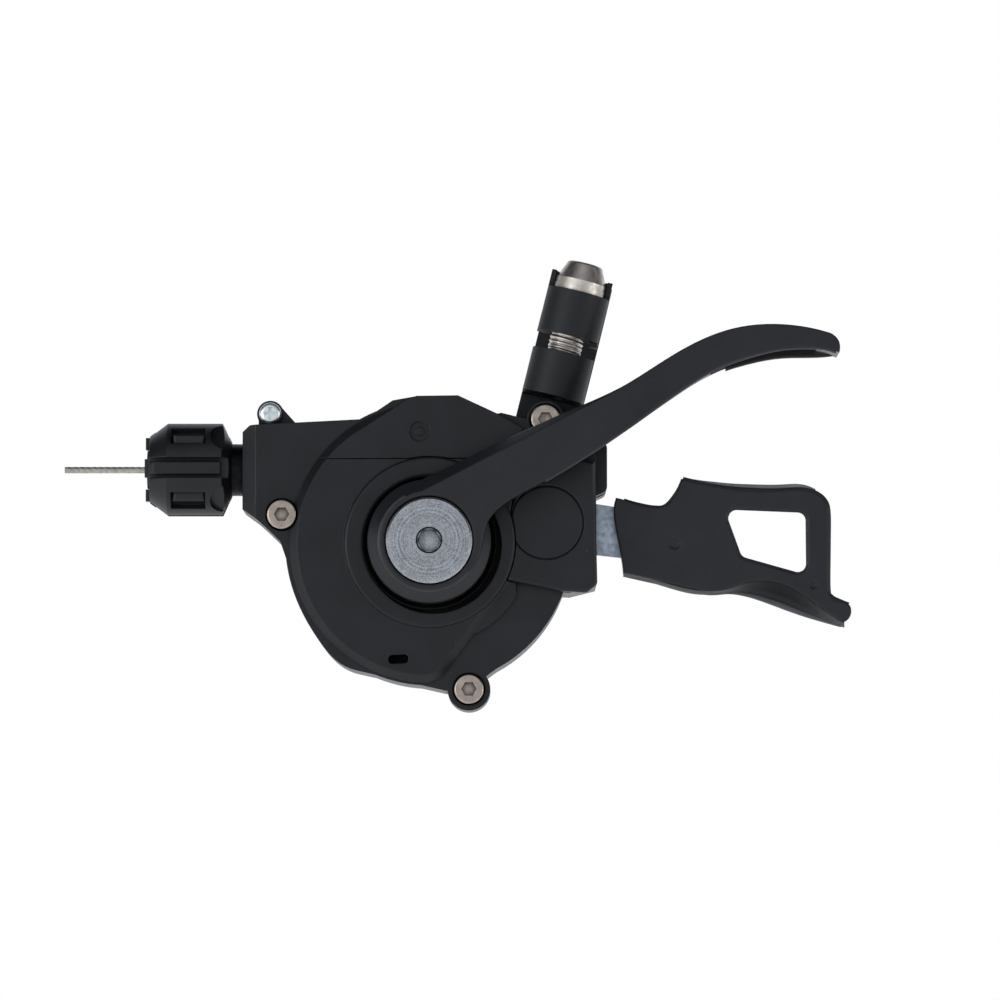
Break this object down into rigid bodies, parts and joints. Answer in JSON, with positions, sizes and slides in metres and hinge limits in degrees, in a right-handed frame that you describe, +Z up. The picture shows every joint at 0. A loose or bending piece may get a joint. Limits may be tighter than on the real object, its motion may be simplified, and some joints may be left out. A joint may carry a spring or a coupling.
{
  "type": "bicycle trigger shifter",
  "caption": "Handlebar trigger shifter with a split bar clamp, a long thumb lever, a short release lever and a cable adjuster; pushing the lever winds a gear cable.",
  "frame": {"origin": "centre of the handlebar clamp's bore", "axes": "+X towards the levers' tips, +Z up, -Y out of the cover's face; the bar lies 14 degrees below +X"},
  "size_m": [0.1479, 0.0452, 0.0847],
  "materials": {
    "black_plastic": "fine moulded grain",
    "lever_plastic": "satin moulded",
    "knob_plastic": "satin moulded",
    "black_aluminium": "black, satin",
    "zinc_steel": "blue zinc plate",
    "nickel_steel": "nickel plate",
    "tool_steel": "hardened, oiled",
    "spring_steel": "drawn wire",
    "stainless_wire": "stranded",
    "brass": "turned",
    "grey_nylon": "moulded",
    "stem_aluminium": "dark anodised"
  },
  "bodies": {
    "case": {"base_body": "black_plastic", "front_cover": "black_plastic", "upper_cover": "black_plastic", "side_cover": "black_plastic", "rear_cap": "black_plastic", "pivot_bolt": "zinc_steel", "axle_bush": "brass", "axle_nut": "nickel_steel", "thrust_washer": "zinc_steel", "hold_pawl_pin": "tool_steel", "release_pin": "tool_steel", "lever_spring": "spring_steel", "release_spring": "spring_steel", "winder_spring": "spring_steel", "adjuster_stem": "stem_aluminium", "inner_cable": "stainless_wire", "clamp_band": "black_aluminium", "band_screw": "nickel_steel", "clamp_bolt": "nickel_steel", "clamp_washer": "nickel_steel", "clamp_nut": "nickel_steel", "case_screw_left": "nickel_steel", "case_screw_low": "nickel_steel", "case_screw_top": "nickel_steel", "lug_screw": "zinc_steel"},
    "lever": {"main_lever": "lever_plastic", "lever_plate": "zinc_steel", "feed_pawl_pin": "tool_steel"},
    "feed_pawl": {"feed_pawl": "tool_steel"},
    "hold_pawl": {"hold_pawl": "tool_steel"},
    "winder": {"winder": "grey_nylon", "ratchet_wheel": "zinc_steel", "cable_head": "stainless_wire"},
    "release_lever": {"release_plate": "zinc_steel", "release_pad": "lever_plastic"},
    "adjuster_liner": {"adjuster_liner": "grey_nylon"},
    "adjuster_knob": {"adjuster_knob": "knob_plastic"}
  },
  "joints": [
    {"name": "lever_push", "type": "hinge", "parent": "case", "child": "lever", "pos_m": [-0.02545, -0.014, -0.03745], "axis": [0, 1, 0], "range_deg": [0, 40], "stiffness_Nm_per_rad": 0.06, "springref_deg": -34.38, "deforming": ["lever_spring"]},
    {"name": "feed_pawl_lift", "type": "hinge", "parent": "lever", "child": "feed_pawl", "pos_m": [-0.04385, -0.0133, -0.03405], "axis": [0, -1, 0], "range_deg": [0, 8], "stiffness_Nm_per_rad": 0.004, "springref_deg": -28.65},
    {"name": "hold_pawl_lift", "type": "hinge", "parent": "case", "child": "hold_pawl", "pos_m": [-0.04205, -0.0133, -0.04865], "axis": [0, 1, 0], "range_deg": [0, 8], "stiffness_Nm_per_rad": 0.004, "springref_deg": -28.65},
    {"name": "winder_turn", "type": "hinge", "parent": "case", "child": "winder", "pos_m": [-0.02545, -0.014, -0.03745], "axis": [0, 1, 0], "range_deg": [0, 147], "stiffness_Nm_per_rad": 0.01, "springref_deg": -57.3, "deforming": ["winder_spring", "inner_cable"]},
    {"name": "release_swing", "type": "hinge", "parent": "case", "child": "release_lever", "pos_m": [-0.0036, -0.011, -0.03375], "axis": [0, 1, 0], "range_deg": [-10, 10], "stiffness_Nm_per_rad": 0.12, "deforming": ["release_spring"]},
    {"name": "adjuster_travel", "type": "slide", "parent": "case", "child": "adjuster_liner", "axis": [-1, 0, 0], "range_m": [-0.00101, 0.00301]},
    {"name": "adjuster_turn", "type": "hinge", "parent": "adjuster_liner", "child": "adjuster_knob", "pos_m": [-0.07, -0.01, -0.02315], "axis": [-1, 0, 0], "range_deg": [-360, 1080]}
  ],
  "couplings": [
    {"joint": "adjuster_travel", "follows": "adjuster_turn", "m_per_rad": 0.00015915}
  ]
}
